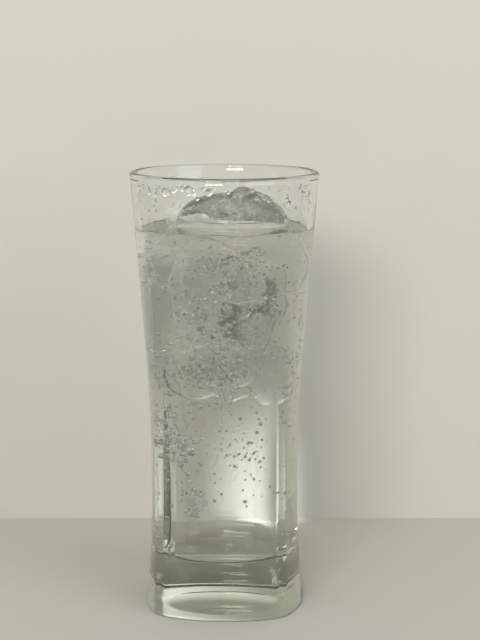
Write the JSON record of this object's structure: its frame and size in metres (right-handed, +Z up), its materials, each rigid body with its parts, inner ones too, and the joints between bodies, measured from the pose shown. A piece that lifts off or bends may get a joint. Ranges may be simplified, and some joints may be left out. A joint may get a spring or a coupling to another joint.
{
  "type": "glass of sparkling water",
  "caption": "Tall clear tumbler with a round rim, waisted four-panel body and heavy base, full of iced sparkling water.",
  "frame": {"origin": "middle of the underside, on the surface that the glass stands on", "axes": "+Z up through the rim, -Y out of the front panel, +X to the right of that panel"},
  "size_m": [0.0644, 0.0644, 0.15],
  "materials": {
    "clear_glass": "clear, fire-polished, faint grey-green where it is thick",
    "sparkling_water": "clear water with bubbles, sunk ice and a faint grey-green cast",
    "ice": "clear wet ice with a frosted, broken crag"
  },
  "bodies": {
    "root": {"glass": "clear_glass", "water": "sparkling_water", "ice": "ice"}
  },
  "joints": []
}
